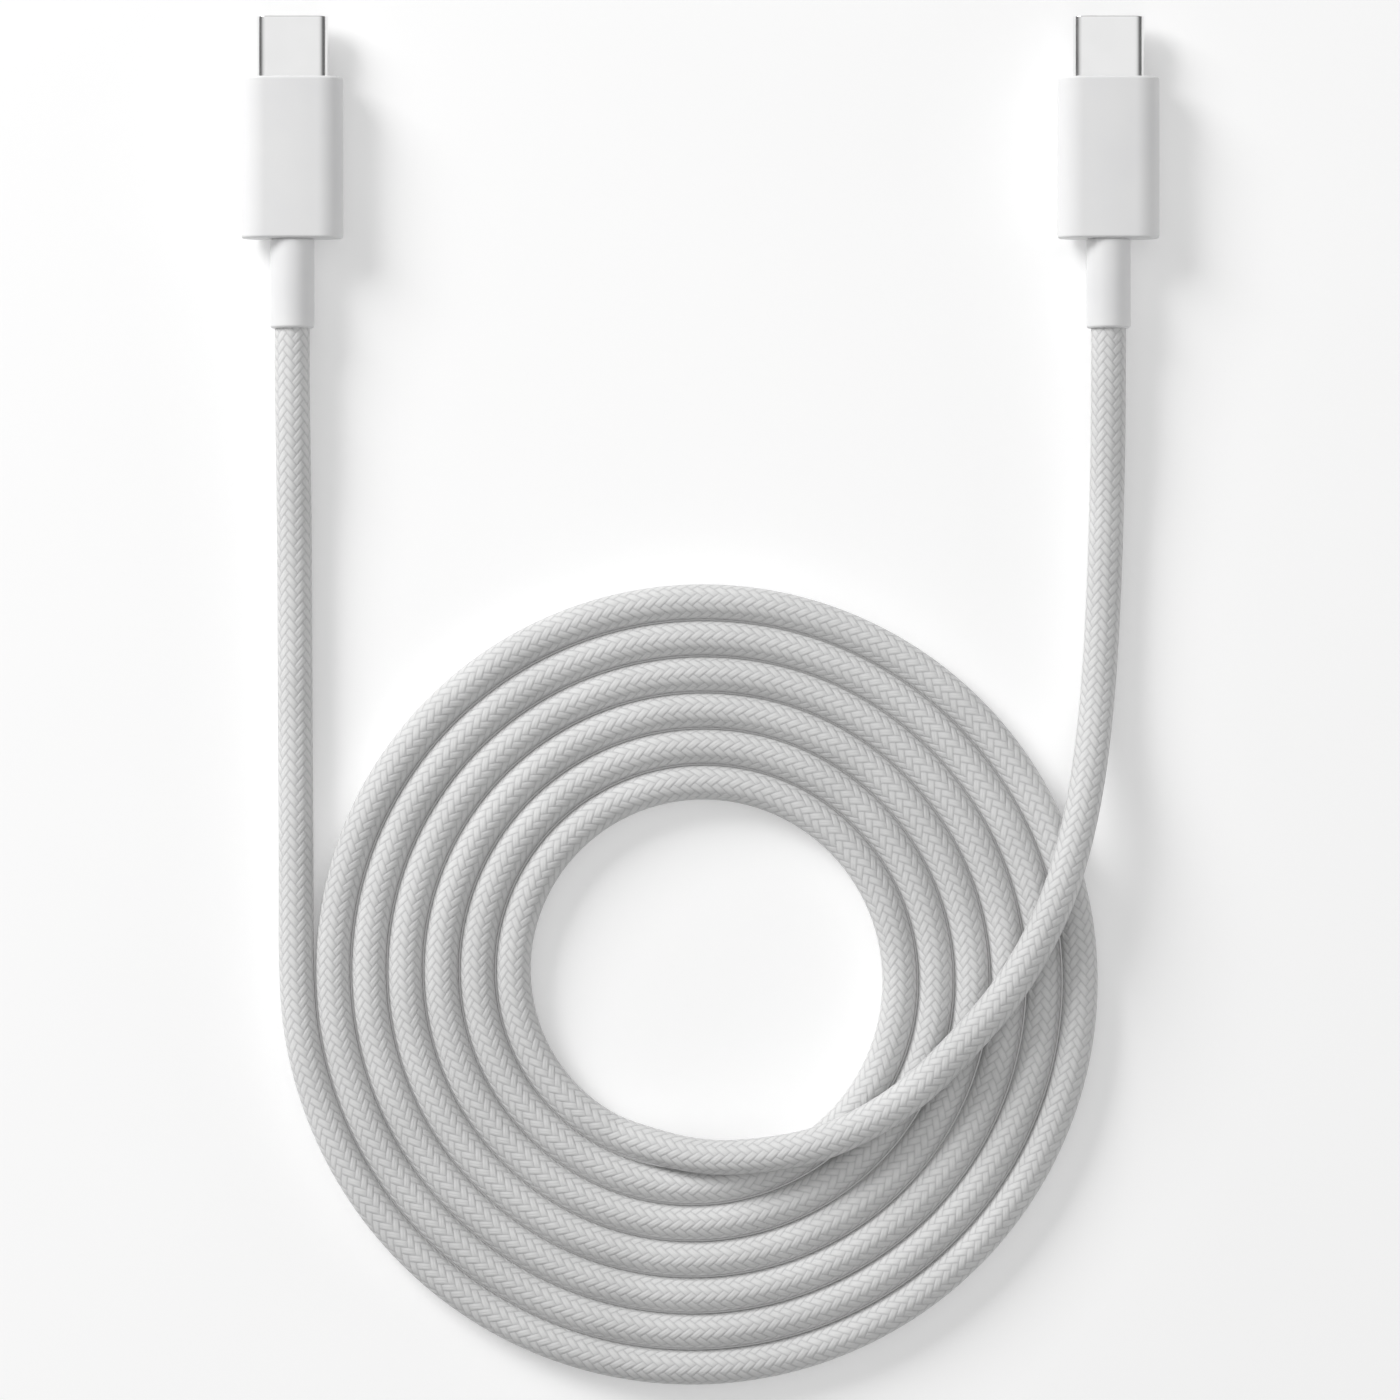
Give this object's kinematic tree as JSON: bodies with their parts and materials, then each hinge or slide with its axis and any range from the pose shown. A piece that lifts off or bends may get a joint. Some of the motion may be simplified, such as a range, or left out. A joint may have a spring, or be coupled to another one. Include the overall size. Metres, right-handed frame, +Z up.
{
  "type": "charging cable",
  "caption": "White braided charging cable in a flat spiral coil, with a reversible plug on a short lead at each end; each plug swings on its cord.",
  "frame": {"origin": "on the table, midway between the two plugs and midway along them", "axes": "+X from plug a to plug b, +Y along the plugs towards their tips, +Z up from the table"},
  "size_m": [0.1054, 0.157, 0.012],
  "materials": {
    "satin_steel": "satin, drawn",
    "spring_steel": "satin",
    "tin_plate": "matt tin",
    "screen_wire": "tinned copper braid",
    "black_insulator": "fine matt",
    "gold_contact": "gold flash",
    "card_laminate": "solder mask",
    "capacitor_ceramic": "ceramic",
    "mould_white": "satin",
    "housing_white": "semi-gloss",
    "relief_white": "satin elastomer",
    "cord_braid": "fine herringbone braid",
    "wire_red": "extruded",
    "wire_black": "extruded",
    "wire_blue": "extruded",
    "wire_green": "extruded",
    "wire_white": "extruded",
    "copper": "bare copper strand",
    "solder": "solder"
  },
  "bodies": {
    "cable": {"cord_coil": "cord_braid", "cord_flex_a": "cord_braid", "cord_flex_b": "cord_braid", "cord_lead_a": "cord_braid", "cord_lead_b": "cord_braid"},
    "plug_a": {"bypass_capacitors_a": "capacitor_ceramic", "contacts_bottom_a": "gold_contact", "contacts_top_a": "gold_contact", "crimp_ring_a": "tin_plate", "ground_spring_bottom_a": "spring_steel", "ground_spring_top_a": "spring_steel", "housing_a": "housing_white", "inner_mould_a": "mould_white", "insulator_a": "black_insulator", "jacket_end_a": "cord_braid", "latch_spring_a": "spring_steel", "paddle_card_a": "card_laminate", "rear_shield_bottom_a": "tin_plate", "rear_shield_top_a": "tin_plate", "screen_end_a": "screen_wire", "shell_a": "satin_steel", "solder_joints_a": "solder", "strain_relief_a": "relief_white", "wire_control_a": "wire_blue", "wire_cores_a": "copper", "wire_data_minus_a": "wire_white", "wire_data_plus_a": "wire_green", "wire_ground_a": "wire_black", "wire_power_a": "wire_red"},
    "plug_b": {"bypass_capacitors_b": "capacitor_ceramic", "contacts_bottom_b": "gold_contact", "contacts_top_b": "gold_contact", "crimp_ring_b": "tin_plate", "ground_spring_bottom_b": "spring_steel", "ground_spring_top_b": "spring_steel", "housing_b": "housing_white", "inner_mould_b": "mould_white", "insulator_b": "black_insulator", "jacket_end_b": "cord_braid", "latch_spring_b": "spring_steel", "paddle_card_b": "card_laminate", "rear_shield_bottom_b": "tin_plate", "rear_shield_top_b": "tin_plate", "screen_end_b": "screen_wire", "shell_b": "satin_steel", "solder_joints_b": "solder", "strain_relief_b": "relief_white", "wire_control_b": "wire_blue", "wire_cores_b": "copper", "wire_data_minus_b": "wire_white", "wire_data_plus_b": "wire_green", "wire_ground_b": "wire_black", "wire_power_b": "wire_red"}
  },
  "joints": [
    {"name": "plug_a_swing", "type": "hinge", "parent": "cable", "child": "plug_a", "pos_m": [-0.0468, -0.0279, 0.003], "axis": [0, 0, 1], "range_deg": [-40, 40], "deforming": ["cord_flex_a"]},
    {"name": "plug_b_swing", "type": "hinge", "parent": "cable", "child": "plug_b", "pos_m": [0.0468, -0.0279, 0.003], "axis": [0, 0, 1], "range_deg": [-40, 40], "deforming": ["cord_flex_b"]}
  ]
}
